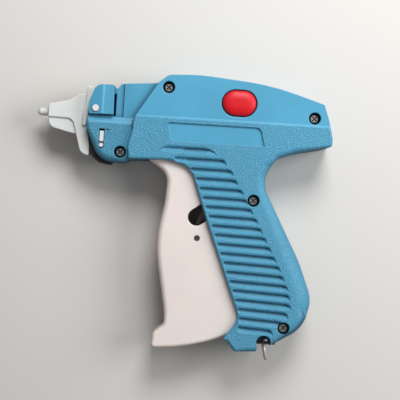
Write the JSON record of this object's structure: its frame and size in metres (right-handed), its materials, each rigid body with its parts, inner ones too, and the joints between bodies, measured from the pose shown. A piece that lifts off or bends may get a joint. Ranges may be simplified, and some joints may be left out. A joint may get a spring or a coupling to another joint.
{
  "type": "garment tag attacher",
  "caption": "Pistol-grip garment tagging tool with a ribbed two-part housing, squeeze trigger, push button, lock lever, hang ring and capped needle.",
  "frame": {"origin": "on the trigger's pivot axis, in the plane of the side that the tool rests on", "axes": "+X from the needle towards the tail, +Y towards the top of the tool, +Z across it, away from the side it rests on"},
  "size_m": [0.1565, 0.1479, 0.0291],
  "materials": {
    "housing_blue": "moulded, fine leather grain below the crease, satin above",
    "smooth_blue": "smooth satin",
    "trigger_cream": "satin",
    "white_plastic": "satin",
    "red_plastic": "satin gloss",
    "black_plastic": "satin",
    "grey_plastic": "satin",
    "green_plastic": "satin",
    "steel": "bright zinc",
    "dark_steel": "blackened",
    "ring_steel": "polished"
  },
  "bodies": {
    "housing": {"housing_left": "housing_blue", "housing_right": "housing_blue", "housing_screws": "steel", "trigger_pivot_pin": "steel", "lever_pivot_pin": "steel", "rod_guide": "grey_plastic", "return_spring": "steel", "spring_anchor_pin": "steel", "needle_base": "green_plastic", "needle": "steel", "knife_blade": "steel", "nose_guide": "black_plastic", "feed_wheel_axle": "steel", "ring_bar": "dark_steel", "button_spring": "steel"},
    "trigger": {"trigger": "trigger_cream", "trigger_link_pin": "dark_steel"},
    "drive_lever": {"drive_lever": "dark_steel"},
    "carriage": {"slide_carriage": "white_plastic", "push_rod": "steel"},
    "feed_wheel": {"feed_wheel": "white_plastic"},
    "index_link": {"index_link": "steel"},
    "index_tab": {"index_slider": "white_plastic", "index_dot": "white_plastic"},
    "lock_lever": {"lock_lever": "smooth_blue", "lock_shaft": "white_plastic"},
    "side_button": {"side_button": "red_plastic", "button_clip": "steel"},
    "needle_cap": {"needle_cap": "white_plastic"},
    "hang_ring": {"hang_ring": "ring_steel"}
  },
  "joints": [
    {"name": "trigger_squeeze", "type": "hinge", "parent": "housing", "child": "trigger", "pos_m": [0, 0, 0.014], "axis": [0, 0, 1], "range_deg": [0, 18], "stiffness_Nm_per_rad": 1.2, "springref_deg": -17.19},
    {"name": "lever_swing", "type": "hinge", "parent": "housing", "child": "drive_lever", "pos_m": [0.0324, -0.0264, 0.014], "axis": [0, 0, 1], "range_deg": [0, 40]},
    {"name": "carriage_stroke", "type": "slide", "parent": "housing", "child": "carriage", "axis": [-1, 0, 0], "range_m": [0, 0.03139], "deforming": ["return_spring"]},
    {"name": "index_push", "type": "slide", "parent": "housing", "child": "index_link", "axis": [-1, 0, 0], "range_m": [0, 0.0025]},
    {"name": "index_tab_lift", "type": "slide", "parent": "housing", "child": "index_tab", "axis": [0, 1, 0], "range_m": [0, 0.000801]},
    {"name": "feed_wheel_spin", "type": "hinge", "parent": "housing", "child": "feed_wheel", "pos_m": [-0.0296, 0.005, 0.014], "axis": [0, 0, 1], "continuous": true},
    {"name": "lock_turn", "type": "hinge", "parent": "housing", "child": "lock_lever", "pos_m": [-0.03335, 0.01865, 0.014], "axis": [0, 0, 1], "range_deg": [0, 90]},
    {"name": "button_press", "type": "slide", "parent": "housing", "child": "side_button", "axis": [0, 0, -1], "range_m": [0, 0.002], "stiffness_N_per_m": 600, "springref_m": -0.002, "deforming": ["button_spring"]},
    {"name": "cap_pull", "type": "slide", "parent": "housing", "child": "needle_cap", "axis": [-1, 0, 0], "range_m": [0, 0.03]},
    {"name": "ring_swing", "type": "hinge", "parent": "housing", "child": "hang_ring", "pos_m": [0.0623, -0.0999, 0.014], "axis": [1, 0, 0], "range_deg": [-60, 60]}
  ],
  "couplings": [
    {"joint": "lever_swing", "follows": "trigger_squeeze", "ratio": 2.2222},
    {"joint": "carriage_stroke", "follows": "trigger_squeeze", "m_per_rad": 0.099905},
    {"joint": "index_push", "follows": "trigger_squeeze", "m_per_rad": 0.007958},
    {"joint": "index_tab_lift", "follows": "trigger_squeeze", "m_per_rad": 0.002546}
  ]
}
